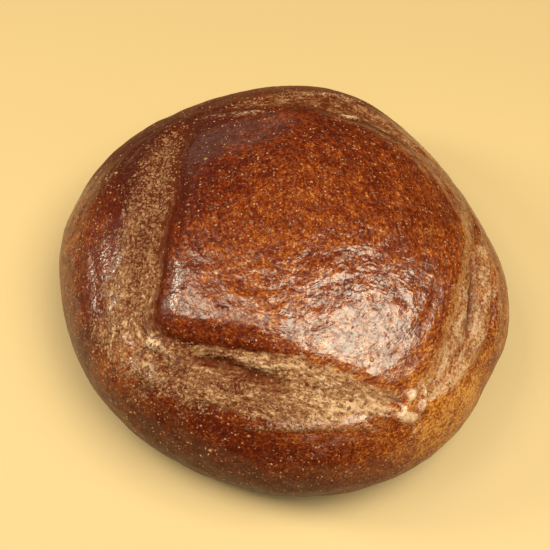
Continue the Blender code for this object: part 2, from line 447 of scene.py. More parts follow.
# %% Pinched knobs and pleats
# How pale a knob is paints its top paler, partly as dough and partly as a painted highlight.
KNOBS = (  # X, Y, half length, half width in mm, heading, height in mm, and how pale
    (59.6, -83.6, 3.4, 2.3, 50, 1.8, 1.0),
    (57.0, -91.5, 6.8, 3.5, 6, 2.5, 0.95),
    (-62.0, -59.5, 4.4, 3.4, -20, 2.7, 1.6),
)
KNOB_EDGE = (0.35, 1.25)  # a knob falls off between these shares of its half sizes
PLEATS = (  # X, Y, heading, spread in degrees, nearest, farthest in mm, number, height in mm
    (-44, -50, -138, 45, 16, 38, 34, 0.26),
    (50, -78, -62, 40, 12, 26, 30, 0.24),
)
PLEAT_SOFT = 5 * MM  # how softly they begin and end


def swung(x, y, way):
    """Offset of each point from a place in plan, as a complex number whose real part runs along a heading."""
    return (skin[:, 0] - x * MM + 1j * (skin[:, 1] - y * MM)) * np.exp(-1j * np.radians(way))


for x, y, long, wide, way, tall, pale in KNOBS:
    apart = swung(x, y, way)
    away = np.hypot(apart.real / long, apart.imag / wide) / MM
    away = away + 0.20 * noise(skin, 3.2, 36) + 0.12 * noise(skin, 1.6, 38)
    knob = 1 - smooth(*KNOB_EDGE, away)
    ramp = np.clip(0.5 - 0.5 * apart.imag / (wide * MM), 0, 1.1)
    relief += tall * MM * knob * ramp * (0.9 + 0.3 * noise(skin, 2.2, 39))
    torn *= 1 - 0.3 * knob
    # Painted highlight, with paler dough, on the knob's raised top.
    pinch = np.maximum(pinch, pale * knob * smooth(0.1, 0.5, ramp))
for x, y, way, wide, near, far, number, tall in PLEATS:
    turned = np.angle(swung(x, y, way))
    fan = bell(turned / np.radians(wide)) * between(near * MM, far * MM, PLEAT_SOFT, in_plan(x, y))
    fan *= smooth(-0.6, 0.4, noise(skin, 7, 37))
    ridges = np.cos(number * turned + 5.0 * noise(skin, 6, 35))
    relief += tall * MM * fan * ridges
    torn *= 1 - 0.4 * fan
    # Painted highlight, with paler dough, on the pleats' crests.
    pinch = np.maximum(pinch, 0.45 * fan * np.clip(ridges + 0.3, 0, 1))

# %% Open pores
PITS = (  # each is put on the skin nearest to X, Y, Z, and has a radius, in mm
    (14, -84, 76, 1.3), (-82, -26, 72, 0.9), (-74, -39, 73, 0.9), (81, -91, 47, 1.3), (-5, -79, 77, 1.1),
)
PIT_DEPTH = 1.2 * MM


def in_space(x, y, z):
    """Distance of each point from a place in space, given in mm."""
    return np.linalg.norm(skin - np.array((x, y, z)) * MM, axis=1)


pit = np.zeros(len(skin))
for x, y, z, wide in PITS:
    centre = skin[np.argmin(in_space(x, y, z))]
    pit = np.maximum(pit, spot(np.linalg.norm(skin - centre, axis=1), wide))
print(f"cuts reach from {relief.min() / MM:.1f} to {relief.max() / MM:.1f} mm")
print(f"{np.mean(torn > 0.5):.0%} of the points are torn crumb")

# %% [markdown]
# Wrinkles in a crust run round the loaf, because the skin shrinks towards its edge. So the noise for them is
# read along a way of its own: the distance from the top, and the heading carried round a smaller ring. The
# crumb's noise is read along the bands instead, so its strands lie as the dough was pulled.

# %% The way that wrinkles are read along
reach = np.interp(ring, RING_SHARES, RING_REACHES) * run[-1]
drawn_out = rise(15, 50, reach) * (1 - 0.8 * rise(70, 120, reach))
round_radius = reach * (1 - 0.40 * drawn_out)
rind_way = np.stack([reach, round_radius * np.cos(heading), round_radius * np.sin(heading)], 1)

# %% Height of the crumb and the crust
PORE_CELL, PORE_RADIUS, PORE_SHARE = 8, 0.9, 0.62  # mm, mm, and the share of cells without a pore
CALM = (-8, 24, 58)  # the smoothest part of the lid: X, Y, radius in mm

crumb_size, crumb_kind = grains(skin, 2.4, 50)
pore_size, pore_kind = grains(skin, PORE_CELL, 60)
pit = np.maximum(pit, torn * (pore_kind > PORE_SHARE) * bell(pore_size * PORE_CELL / PORE_RADIUS))
fibre = noise(crumb_way, 3.0, 41) + 0.5 * noise(crumb_way, 1.5, 42)
crumb = 0.45 * MM * (0.6 - crumb_size) * (0.4 + crumb_kind) + 0.5 * MM * fibre
crumb = crumb + 0.3 * MM * noise(skin, 3.2, 45)

calm = spot(in_plan(*CALM[:2]), CALM[2])
wrinkle = 0.5 - abs(noise(rind_way, 4.5, 74))
crust = 0.40 * MM * noise(skin, 19, 70) + (0.34 - 0.24 * calm) * MM * noise(rind_way, 8, 71)
crust = crust - (0.14 - 0.09 * calm) * MM * wrinkle + 0.04 * MM * noise(rind_way, 2.6, 73)
print(f"crumb {np.ptp(crumb) / MM:.1f} mm and crust {np.ptp(crust) / MM:.1f} mm from low to high")

# %% Where the skin is lively, frosted or matte
LIVELY = (  # where the skin is most wrinkled: X, Y, radius in mm, amount
    (38, -30, 46, 1.0), (-46, -26, 26, 0.45), (-95, -10, 30, 0.14), (-80, -50, 20, 0.3), (-38, 62, 30, 0.5),
    (-10, -42, 26, 0.8),
)
LEAST_LIVELY = 0.08
FROST = ((-92, -12, 28, 1.2), (-46, -26, 26, 1.0), (-80, -50, 20, 1.0))  # where it is finely rough


def blots(spots):
    """Sum of bells round places in plan: X, Y, radius in mm, amount."""
    return sum(amount * spot(in_plan(x, y), wide) for x, y, wide, amount in spots)


lively = LEAST_LIVELY + blots(LIVELY)
frost = blots(FROST)
matte = rise(58, 84, skin[:, 1] - 0.25 * skin[:, 0])  # the far side, which stayed dry

# %% Add the relief up
swell = 0.5 * MM * noise(skin, 60, 80)
off_foot = rise(1, 12, skin[:, 2])
smoothed = 1 - 0.6 * stretched
cuts = relief + torn * crumb * coarse * smoothed - PIT_DEPTH * pit
relief = upper * cuts + off_foot * ((1 - torn) * crust + swell)
torn, crease_shade, lid_edge, stretched = torn * upper, crease_shade * upper, lid_edge * upper, stretched * upper
dome = skin + normal * relief[:, None]
dome[:, :2] += lean * upper[:, None]
print(f"relief from {relief.min() / MM:.1f} to {relief.max() / MM:.1f} mm")

# %% [markdown]
# An oven never browns evenly. A few soft patches, each a bell round a place on the skin, say where the
# crust baked darker and where it stayed golden.

# %% Where the crust is darker or lighter: browning, painted shade and painted light
BAKE_AND_LIGHT_PATCHES = (  # X, Y, Z, radius in mm, and how much lighter
    (8, 0, 90, 38, 0.25),
    (-48, 20, 86, 20, -1.00),
    (-30, 45, 84, 28, -0.75),
    (-75, 55, 70, 34, -2.40),
    (30, 50, 84, 28, -0.25),
    # painted shade on the front flank, which faces away from the lamps
    (-15, -115, 45, 55, -1.45),
    (-75, -85, 48, 34, -0.90),
    # partly paler crust, partly painted light bounced from the floor onto the lower right flank
    (85, -88, 48, 36, 2.40),
    (112, -20, 48, 34, 1.10),
    (90, 50, 60, 30, 0.90),
    (-25, 85, 68, 40, -1.10),
    (35, 85, 66, 40, -0.80),
    (98, 40, 62, 26, -0.70),
    (24, -88, 72, 30, 1.55),
    (-76, -5, 74, 34, -0.70),
    (-78, -62, 62, 15, 1.60),
    (-98, -45, 45, 24, -1.10),
    (-62, 58, 80, 24, -2.60),
    (-68, 24, 78, 16, -1.45),
    # painted sheen on the lid in front of its middle
    (-10, -42, 87, 24, 0.60),
    (-66, -4, 80, 10, -0.80),
)
bake_and_light = np.zeros(len(skin))
for x, y, z, wide, amount in BAKE_AND_LIGHT_PATCHES:
    bake_and_light += amount * spot(in_space(x, y, z), wide)
print(f"bake from {bake_and_light.min():.2f} to {bake_and_light.max():.2f}")

# %% [markdown]
# ## Close the crust underneath
# The dome's grid ends at the foot's edge. Rings of points run in from there to the middle of the base,
# all at floor level, and the last ring closes in one point. On the map for painting, the dome is one
# square, and the base is a strip beside it with its rim along one side.

# %% Tools for making a mesh from arrays
MAP_NAME = "OFBake"


def square_edge(cells):
    """Numbers of the grid points round the square's edge, anticlockwise from the corner."""
    grid = np.arange((cells + 1) ** 2).reshape(cells + 1, cells + 1)
    return np.concatenate([grid[0, :-1], grid[:-1, -1], grid[-1, :0:-1], grid[:0:-1, 0]])


def grid_quads(rows, columns):
    """Corner numbers of the quads of a grid of rows by columns of points."""
    first = np.arange((rows - 1) * columns).reshape(rows - 1, columns)[:, :-1].ravel()
    return np.stack([first, first + 1, first + columns + 1, first + columns], 1)


def new_mesh(name, points, quads, triangles=np.zeros((0, 3), int), chart=None):
    """A mesh object at the origin from whole arrays of points, quads and triangles. The chart holds one
    place on the map for each corner of each face, in the same order."""
    mesh = bpy.data.meshes.new(name)
    corners = np.concatenate([quads.ravel(), triangles.ravel()])
    starts = np.concatenate([np.arange(len(quads)) * 4, quads.size + np.arange(len(triangles)) * 3])
    mesh.vertices.add(len(points))
    mesh.loops.add(len(corners))
    mesh.polygons.add(len(starts))
    mesh.vertices.foreach_set("co", points.astype(np.float32).ravel())
    mesh.loops.foreach_set("vertex_index", corners.astype(np.int32))
    mesh.polygons.foreach_set("loop_start", starts.astype(np.int32))
    mesh.update(calc_edges=True)
    if chart is not None:
        mesh.uv_layers.new(name=MAP_NAME).data.foreach_set("uv", chart.astype(np.float32).ravel())
    mesh.validate()
    mesh.shade_smooth()
    thing = bpy.data.objects.new(name, mesh)
    bpy.context.scene.collection.objects.link(thing)
    return thing


def store(thing, name, values):
    """Keeps one number or one vector a point on the mesh, for the materials to read."""
    kind, field = ("FLOAT", "value") if values.ndim == 1 else ("FLOAT_VECTOR", "vector")
    layer = thing.data.attributes.new(name, kind, "POINT")
    layer.data.foreach_set(field, values.astype(np.float32).ravel())


# %% Build the closed crust
BASE_RINGS = (0.985, 0.95, 0.86, 0.66, 0.36)  # shares of the foot's radius

edge = square_edge(CELLS)
count = len(edge)
rim = dome[edge]
rings = [np.column_stack([rim[:, :2] * share, np.zeros(count)]) for share in BASE_RINGS]
points = np.concatenate([dome, *rings, [[0, 0, 0]]])
points[:, :2] += middle
loops = [edge] + [len(dome) + i * count + np.arange(count) for i in range(len(rings))]
strips = [np.stack([a, b, np.roll(b, -1), np.roll(a, -1)], 1) for a, b in zip(loops, loops[1:])]
fan = np.stack([loops[-1], np.full(count, len(points) - 1), np.roll(loops[-1], -1)], 1)
quads = np.concatenate([grid_quads(CELLS + 1, CELLS + 1), *strips])
print(f"{len(rings)} rings under the loaf, {count} points in each")

# %% Its map for painting
MAP_SQUARE = 0.86  # side of the dome's square on the map
MAP_STRIP = (0.88, 0.99)  # the base's strip beside it, from its rim to its middle


def chart_corners(us, vs):
    """Places on the map for the corners of a run of faces, from one U and one V for each corner. Each is a
    plain number or an array with one value a face."""
    return np.stack([np.stack(np.broadcast_arrays(u, v), 1) for u, v in zip(us, vs)], 1)


dome_chart = np.stack([east + 1, north + 1], 1) / 2 * MAP_SQUARE
lines = np.linspace(*MAP_STRIP, len(loops) + 1)
ticks = np.arange(count + 1) / count * MAP_SQUARE
here, there = ticks[:-1], ticks[1:]
strip_charts = [chart_corners((a, b, b, a), (here, here, there, there)) for a, b in zip(lines, lines[1:-1])]
fan_chart = chart_corners((lines[-2], lines[-1], lines[-2]), (here, (here + there) / 2, there))
charts = [dome_chart[quads[: CELLS * CELLS]], *strip_charts, fan_chart]
crust_chart = np.concatenate([chart.reshape(-1, 2) for chart in charts])
crust_piece = new_mesh("crust", points, quads, fan, crust_chart)
print(f"crust: {len(quads) * 2 + len(fan)} triangles")

# %% Keep the masks on the mesh
SOLE_RISE = 5  # the floury sole fades out over this height above the base, in mm


def with_base(values, below=0.0):
    """The dome's values, and one value for all the points under it."""
    return np.concatenate([values, np.full(len(points) - len(dome), below)])


masks = {
    "torn": torn, "crease_shade": crease_shade, "lid_edge": lid_edge, "pit": pit, "stretched": stretched, "bake_and_light": bake_and_light,
    "fold_light_and_shade": fold_light_and_shade * upper, "pinch": pinch, "coarse": coarse, "lively": lively, "frost": frost,
    "matte": matte,
}
for name, values in masks.items():
    store(crust_piece, name, with_base(values))
store(crust_piece, "base", with_base(1 - rise(0, SOLE_RISE, skin[:, 2]), 1.0))
for name, way in (("rind_way", rind_way), ("crumb_way", crumb_way)):
    store(crust_piece, name, np.concatenate([way, points[len(dome):]]))
print("kept:", ", ".join(masks))

# %% [markdown]
# ## Scattered bran and crumbs
# Wholemeal flour holds flakes of bran. Some lie in the skin as tan specks, whose lightest tones also paint
# small glints, and the torn bands are full of loose granules. Each is a small lump of its own: a ball drawn
# out into an ellipsoid, with its points moved in and out at random. Thousands of them are joined in one mesh,
# each with its own place on the map.

# %% Random places and sizes
chance = np.random.default_rng(11)


def scatter_places(count, weight):
    """Random places on the dome and the outward normals there. A cell is picked by its area times its
    weight, and a place in it by two random shares."""
    cells = quads[: CELLS * CELLS]
    corners = points[cells]
    normals = np.cross(corners[:, 1] - corners[:, 3], corners[:, 2] - corners[:, 0])
    size = np.linalg.norm(normals, axis=1)
    pull = size * weight[cells].mean(1)
    picked = chance.choice(len(cells), count, p=pull / pull.sum())
    u, v = chance.random((2, count, 1))
    a, b, c, d = (corners[picked, i] for i in range(4))
    place = a * (1 - u) * (1 - v) + b * u * (1 - v) + c * u * v + d * (1 - u) * v
    outward = normals[picked] / size[picked, None]
    return place, outward * np.sign((outward * normal[cells[picked, 0]]).sum(1))[:, None]


def random_sizes(count, middling, spread, flat, long):
    """Half sizes of lumps: a middling size times e to a random power, longer one way, flatter outwards."""
    size = middling * np.exp(spread * chance.normal(size=count))
    return np.stack([size * chance.uniform(1, long, count), size, size * flat], 1)


# %% One mesh of many lumps
LUMP_SHARE, LUMP_GAP = 0.9, 0.05  # the part of its own square on the map that a lump fills, and the gap


def lump_points(place, outward, sizes, around, levels, rough):
    """Points of each lump: a ball's rings from pole to pole, and then the poles. They are moved in or out by
    a random share, scaled by the sizes along, across and outwards, and turned to lie along the skin."""
    count = len(place)
    spin = chance.random(count) * 2 * np.pi
    first = np.cross(outward, chance.normal(size=(count, 3)))
    first /= np.linalg.norm(first, axis=1)[:, None]
    down = np.repeat(np.arange(1, levels) * np.pi / levels, around)
    turn = np.tile(np.arange(around) * 2 * np.pi / around, levels - 1) + spin[:, None]
    ball = np.stack([np.sin(down) * np.cos(turn), np.sin(down) * np.sin(turn), np.cos(down) + 0 * turn], 2)
    poles = np.broadcast_to(np.array([[0, 0, 1.0], [0, 0, -1.0]]), (count, 2, 3))
    ball = np.concatenate([ball, poles], 1)
    ball = ball * (1 + rough * chance.uniform(-1, 1, ball.shape[:2]))[:, :, None] * sizes[:, None, :]
    return place[:, None, :] + ball @ np.stack([first, np.cross(outward, first), outward], 1)


def lump_faces(around, levels):
    """Corner numbers of one lump: quads from ring to ring, and triangles round its two poles."""
    column = np.arange(around)
    after = (column + 1) % around
    last = around * (levels - 2)
    top = last + around
    sides = [np.stack([i + column, i + around + column, i + around + after, i + after], 1)
             for i in range(0, last, around)]
    caps = [np.stack([np.full(around, top), column, after], 1),
            np.stack([last + column, np.full(around, top + 1), last + after], 1)]
    return np.concatenate([np.zeros((0, 4), int), *sides]), np.concatenate(caps)


def lump_charts(around, levels):
    """One lump's quads and then its triangles, unrolled onto a square of side 1."""
    left, mid, right = ((np.arange(around) + part) / around for part in (0, 0.5, 1))
    rows = np.arange(1, levels) / levels
    sides = [chart_corners((left, left, right, right), (a, b, b, a)) for a, b in zip(rows, rows[1:])]
    caps = [chart_corners((mid, left, right), (0, rows[0], rows[0])),
            chart_corners((left, mid, right), (rows[-1], 1, rows[-1]))]
    return [np.concatenate([np.zeros((0, 2)), *(part.reshape(-1, 2) for part in parts)])
            for parts in (sides, caps)]


def on_map(chart, count):
    """A chart for each of many lumps, whose squares fill a grid on the map."""
    grid = int(np.ceil(np.sqrt(count)))
    home = np.stack([np.arange(count) % grid, np.arange(count) // grid], 1)[:, None, :]
    return ((home + (chart * LUMP_SHARE + LUMP_GAP)) / grid).reshape(-1, 2)


def lump_mesh(name, place, outward, sizes, around, levels, rough):
    """One mesh of many closed lumps, each with a random shade of its own."""
    count = len(place)
    spots = lump_points(place, outward, sizes, around, levels, rough)
    sides, caps = lump_faces(around, levels)
    each = spots.shape[1]
    shift = (np.arange(count) * each)[:, None, None]
    all_sides, all_caps = (sides + shift).reshape(-1, 4), (caps + shift).reshape(-1, 3)
    chart = np.concatenate([on_map(part, count) for part in lump_charts(around, levels)])
    thing = new_mesh(name, spots.reshape(-1, 3), all_sides, all_caps, chart)
    store(thing, "shade", np.repeat(chance.random(count), each))
    print(f"{name}: {count} lumps, {len(all_sides) * 2 + len(all_caps)} triangles")
    return thing


# %% Bran flakes in the skin, whose lightest tones also paint small glints
FLAKES = 1900
LARGEST = 1.2 * MM  # half length of the largest lumps

glossy = (1 - 0.75 * torn) * (1 - 0.7 * matte) * rise(2, 60, skin[:, 2])
place, outward = scatter_places(FLAKES, with_base(glossy))
sizes = np.minimum(random_sizes(FLAKES, 0.21 * MM, 0.55, 0.50, 2.2), LARGEST)
flakes = lump_mesh("bran_and_glint_flakes", place, outward, sizes, 6, 2, 0.30)

# %% Crumb granules in the bands
GRANULES = 6000
SUNK = 0.15 * MM  # how deep their middles lie below the crumb

crumbly = torn**1.5 * coarse**3 * (1 - 0.8 * stretched) * (1 - crease_shade) ** 2
place, outward = scatter_places(GRANULES, with_base(crumbly))
sizes = np.minimum(random_sizes(GRANULES, 0.46 * MM, 0.36, 0.50, 1.9), LARGEST)
granules = lump_mesh("crumb_granules", place - SUNK * outward, outward, sizes, 5, 3, 0.35)

# %% [markdown]
# ## Materials
# Baked crust is dark and glossy, speckled by bran. Bare crumb is paler and dull. One material paints
# both, and the torn mask, roughened by fine noise, tells it where each begins. The gloss is a thin clear
# coat over the colour. It is patchy, because flour and steam leave a fine bloom on a crust.

# %% Helpers for shader nodes
def new_material(name):
    """A material with one Principled shader, and its node tree."""
    material = bpy.data.materials.new(name)
    material.use_nodes = True
    return material, material.node_tree


def plug(tree, socket, value):
    """Gives a socket a plain value, or a link if the value is another node's output."""
    if isinstance(value, bpy.types.NodeSocket):
        tree.links.new(value, socket)
    else:
        socket.default_value = value


def set_shader(tree, values):
    """Sets the Principled shader's sockets, by name."""
    for name, value in values.items():
        plug(tree, tree.nodes["Principled BSDF"].inputs[name], value)


def add(tree, kind, sockets=None, **settings):
    """Adds one node, with its settings and its sockets' values or links."""
    made = tree.nodes.new("ShaderNode" + kind)
    for name, value in settings.items():
        setattr(made, name, value)
    for name, value in (sockets or {}).items():
        plug(tree, made.inputs[name], value)
    return made


def blend_colours(tree, share, first, second):
    """Mixes two colours by a share."""
    return add(tree, "Mix", {0: share, 6: first, 7: second}, data_type="RGBA").outputs[2]


def compute(tree, operation, first, second=0.0, third=0.0):
    """One Math node."""
    return add(tree, "Math", {0: first, 1: second, 2: third}, operation=operation).outputs[0]


def total(tree, *terms):
    """The sum of several (factor, value) terms."""
    result = 0.0
    for factor, value in terms:
        result = compute(tree, "MULTIPLY_ADD", value, factor, result)
    return result


def product(tree, first, *others):
    """Several values multiplied in turn."""
    for other in others:
        first = compute(tree, "MULTIPLY", first, other)
    return first


def greatest(tree, first, *others):
    """The greatest of several values."""
    for other in others:
        first = compute(tree, "MAXIMUM", first, other)
    return first


def ranged(tree, value, low, high, to_low=0.0, to_high=1.0):
    """Maps low to high onto to_low to to_high, clamped, on an S curve."""
    sockets = {"Value": value, "From Min": low, "From Max": high, "To Min": to_low, "To Max": to_high}
    return add(tree, "MapRange", sockets, interpolation_type="SMOOTHSTEP").outputs["Result"]


def noise_at(tree, where, size, detail=2.0, rough=0.5, stir=0.0):
    """Noise with features of a size in metres, which stir makes more wavy."""
    sockets = {"Vector": where, "Scale": 1 / size, "Detail": detail, "Roughness": rough, "Distortion": stir}
    return add(tree, "TexNoise", sockets).outputs["Fac"]


def attribute(tree, name, output="Fac"):
    """One of the numbers or vectors stored on the mesh."""
    return add(tree, "Attribute", attribute_name=name).outputs[output]


def colour_ramp(tree, value, stops):
    """A run of colours, one stop for each (place, colour)."""
    made = add(tree, "ValToRGB", {"Fac": value})
    ramp = made.color_ramp
    while len(ramp.elements) < len(stops):
        ramp.elements.new(0.5)
    for element, (place, colour) in zip(ramp.elements, stops):
        element.position = place
        element.color = colour
    return made.outputs["Color"]


# %% Patterns for crust and crumb
def centred(tree, where, size, detail=2.0, rough=0.5, stir=0.0):
    """Noise less one half, so that it is as often below zero as above."""
    return compute(tree, "SUBTRACT", noise_at(tree, where, size, detail, rough, stir), 0.5)


def plates(tree, where, size, narrow):
    """1 on flat plates, and 0 in the creases between them, where a noise crosses its middle value."""
    return ranged(tree, compute(tree, "ABSOLUTE", centred(tree, where, size, 2.0, 0.5, 0.7)), 0.0, narrow)


def stirred_cells(tree, where, cell, eddy, shift):
    """Cells round random centres, made ragged: each place is first moved by a noise of size eddy."""
    stir = add(tree, "TexNoise", {"Vector": where, "Scale": 1 / eddy, "Detail": 1.0}).outputs["Color"]
    moved = add(tree, "VectorMath", {0: stir, 1: (shift,) * 3, 2: where}, operation="MULTIPLY_ADD")
    return add(tree, "TexVoronoi", {"Vector": moved.outputs[0], "Scale": 1 / cell})


def specks(tree, where, cell, smallest, largest, rarity):
    """Spots at the centres of stirred cells, in those whose own random number is above the rarity."""
    spots = stirred_cells(tree, where, cell, 0.5 * cell, 0.55 * cell)
    chosen = add(tree, "SeparateColor", {"Color": spots.outputs["Color"]}).outputs["Red"]
    reach = ranged(tree, chosen, rarity, 1.0, 0.0, largest)
    inside = compute(tree, "SUBTRACT", reach, spots.outputs["Distance"])
    return ranged(tree, inside, 0.0, largest - smallest)


def masks_and_patterns(tree):
    """All that the colour, the gloss and the relief are made of, by name. Sizes are in metres."""
    at = {name: attribute(tree, name) for name in (*masks, "base")}
    at["where"] = where = add(tree, "TexCoord").outputs["Object"]
    at["rind_way"] = rind_way = attribute(tree, "rind_way", "Vector")
    crumb_way = attribute(tree, "crumb_way", "Vector")
    at["fine"] = centred(tree, rind_way, 0.0011, 2.0, 0.6, 0.5)
    at["plates"] = plates(tree, rind_way, 0.0050, 0.09)
    at["strand"] = centred(tree, crumb_way, 0.0011, 2.0, 0.6)
    at["lump"] = centred(tree, crumb_way, 0.0030, 3.0, 0.6)
    at["grit"] = centred(tree, where, 0.0014, 3.0, 0.7)
    pebbles = stirred_cells(tree, where, 0.0023, 0.0015, 0.0012)
    at["pebble"] = compute(tree, "SUBTRACT", 0.45, pebbles.outputs["Distance"])
    return at


# %% Colour of the glossy skin
CRUST_TONES = (
    (0.00, (0.042, 0.004, 0.001, 1)),
    (0.30, (0.086, 0.010, 0.001, 1)),
    (0.50, (0.138, 0.023, 0.002, 1)),
    (0.72, (0.225, 0.054, 0.006, 1)),
    (1.00, (0.430, 0.185, 0.035, 1)),
)
STRETCHED_TONE = (0.330, 0.160, 0.055, 1)
BRAN_AND_GLINT = (0.470, 0.250, 0.135, 1)
BRAN_AND_GLINT_SHARE = 0.75  # how much of a speck's colour shows through the skin


def skin_colour(tree, at):
    """Dark red-brown tones, mixed by soft patches and by streaks round the loaf, with painted shade in the
    creases between plates and at the lid's edge. Stretched skin is paler along its strands, and specks of
    bran show through; their light tone also paints small glints."""
    patch = centred(tree, at["where"], 0.009, 3.0, 0.6)
    streak = centred(tree, at["rind_way"], 0.0024, 3.0, 0.6)
    small_plates = plates(tree, at["rind_way"], 0.0022, 0.13)
    # Painted shade: the lid_edge and plates terms darken the lid's edge and the creases between plates.
    tone = total(tree, (1.0, 0.31), (0.9, patch), (1.0, streak), (1.6, at["fine"]), (0.20, at["bake_and_light"]),
                 (-0.13, at["lid_edge"]), (0.06, at["plates"]), (0.08, small_plates))
    colour = colour_ramp(tree, tone, CRUST_TONES)
    strands = product(tree, at["strand"], at["stretched"])
    drawn = total(tree, (0.7, at["stretched"]), (1.6, strands), (1.2, at["fine"]))
    colour = blend_colours(tree, ranged(tree, drawn, 0.20, 0.85, 0.0, 0.6), colour, STRETCHED_TONE)
    # Bran specks, whose light tone also paints small glints.
    speck = specks(tree, at["where"], 0.0016, 0.15, 0.40, 0.70)
    return blend_colours(tree, product(tree, speck, BRAN_AND_GLINT_SHARE), colour, BRAN_AND_GLINT)


# %% Colour of the torn crumb
CRUMB_TONES = (
    (0.00, (0.066, 0.010, 0.001, 1)),
    (0.35, (0.130, 0.041, 0.013, 1)),
    (0.60, (0.228, 0.107, 0.046, 1)),
    (1.00, (0.430, 0.270, 0.163, 1)),
)


def crumb_colour(tree, at):
    """Paler crests and darker hollows, as coarse as the band is there, with soft clouds over them. The tone
    follows the grit, lumps and pebbles of the crumb's fine relief and its folds, so it is partly the crumb's
    own grain and partly painted light and shade.
    """
    cloud = centred(tree, at["where"], 0.014, 2.0)
    # Partly painted light and shade: these are the same grit, lumps and pebbles that raise the crumb's fine
    # relief.
    grain_and_shade = total(tree, (1.2, at["grit"]), (0.5, at["pebble"]), (1.0, at["lump"]), (1.9, at["strand"]))
    tone = total(tree, (1.0, 0.50), (1.0, product(tree, grain_and_shade, at["coarse"])), (0.7, cloud),
                 (0.22, at["bake_and_light"]), (0.7, at["fold_light_and_shade"]))
    return colour_ramp(tree, tone, CRUMB_TONES)


# %% Where crumb, painted shade in creases, and pale pinches with a painted highlight show
PALE_AND_HIGHLIGHT = (0.480, 0.334, 0.218, 1)
CREASE_SHADE = (0.068, 0.009, 0.001, 1)
SOLE_TONES = ((0.2, (0.110, 0.035, 0.010, 1)), (0.8, (0.330, 0.140, 0.050, 1)))


def bare_crumb(tree, at):
    """1 where crumb is bare. Its edge is ragged, and a pinch covers part of it with skin."""
    edge = total(tree, (1.0, at["torn"]), (1.6, at["grit"]), (1.3, at["lump"]))
    return product(tree, ranged(tree, edge, 0.15, 0.80), ranged(tree, at["pinch"], 0.3, 0.9, 1.0, 0.45))


def crease_shade_share(tree, at):
    """Share of painted shade: highest at the bottom of creases and pores, with a ragged edge."""
    ragged_shade = total(tree, (1.0, at["crease_shade"]), (2.2, at["grit"]), (1.0, at["lump"]))
    return greatest(tree, ranged(tree, ragged_shade, 0.30, 0.85, 0.0, 0.84), at["pit"])


def whole_colour(tree, at):
    """Skin, then bare crumb over it, pale pinches with a painted highlight, painted shade in creases and
    pores, and the floury sole.
    """
    # Pale pinches: partly paler dough, partly a painted highlight.
    pale_and_highlight = ranged(tree, total(tree, (1.0, at["pinch"]), (2.0, at["grit"])), 0.1, 1.1, 0.0, 0.90)
    sole = colour_ramp(tree, noise_at(tree, at["where"], 0.012, 5.0, 0.6), SOLE_TONES)
    colour = blend_colours(tree, at["bare"], skin_colour(tree, at), crumb_colour(tree, at))
    for share, cover in ((pale_and_highlight, PALE_AND_HIGHLIGHT), (at["hidden"], CREASE_SHADE), (at["base"], sole)):
        colour = blend_colours(tree, share, colour, cover)
    return colour


# %% Gloss of the skin
COAT_ROUGHNESS, COAT_IOR = 0.19, 1.62
SPECULAR_LEVEL = 0.06  # of the skin below the coat
SKIN_ROUGHNESS, CRUMB_ROUGHNESS, MATTE_ROUGHNESS = 0.42, 0.72, 0.85
DRY_FLANK = (0.022, 0.074, 0.15)  # heights between which the gloss grows, and its share at the lower one


def gloss(tree, at):
    """Weight of the clear coat: a product of shares. It is least on crumb and in creases, low on the
    flanks, on the dry far side, at the lid's edge and on pinches, and broken up by the bloom."""
    level = add(tree, "SeparateXYZ", {"Vector": at["where"]}).outputs["Z"]
    coarse_bloom = centred(tree, at["where"], 0.0042, 1.0, 0.5, 0.8)
    bloom = total(tree, (1.0, centred(tree, at["where"], 0.0013, 3.0, 0.65)), (0.6, coarse_bloom))
    return product(
        tree,
        ranged(tree, at["dull"], 0.0, 0.9, 1.0, 0.10),
        ranged(tree, level, *DRY_FLANK, 1.0),
        ranged(tree, at["matte"], 0.0, 1.0, 1.0, 0.25),
        ranged(tree, bloom, -0.20, 0.18, 0.38, 1.0),
        ranged(tree, at["lid_edge"], 0.2, 0.9, 1.0, 0.15),
        ranged(tree, at["pinch"], 0.2, 1.0, 1.0, 0.4),
    )


# %% Relief too fine for the mesh
def fine_relief(tree, at):
    """Height in metres. Wrinkled skin has broad waves, dimples, facets and fine contour lines, frosted skin
    has facets alone, and bare crumb has grit, lumps and pebbles."""
    contour = compute(tree, "SINE", product(tree, noise_at(tree, at["where"], 0.020, 3.0, 0.55, 0.6), 30.0))
    contour = ranged(tree, compute(tree, "ABSOLUTE", contour), 0.0, 0.45)
    facets = centred(tree, at["where"], 0.0018, 2.0, 0.5)
    dimples = centred(tree, at["where"], 0.0045, 1.0, 0.5, 0.5)
    waves = product(tree, centred(tree, at["where"], 0.0090, 2.0, 0.40, 0.6), at["lively"])
    skin_height = total(tree, (0.00005, at["plates"]), (0.00003, contour), (0.00018, facets),
                        (0.00040, dimples), (0.00120, waves))
    crumb_height = total(tree, (0.0007, at["grit"]), (0.0012, at["lump"]), (0.0006, at["pebble"]))
    return total(
        tree,
        (1.0, product(tree, skin_height, at["lively"])),
        (0.00018, product(tree, facets, at["frost"])),
        (1.0, product(tree, crumb_height, product(tree, at["bare"], at["coarse"]))),
    )


def tilted(tree, height):
    """A normal tilted by the slopes of a height in metres."""
    return add(tree, "Bump", {"Height": height, "Distance": 1.0, "Strength": 1.0}).outputs["Normal"]


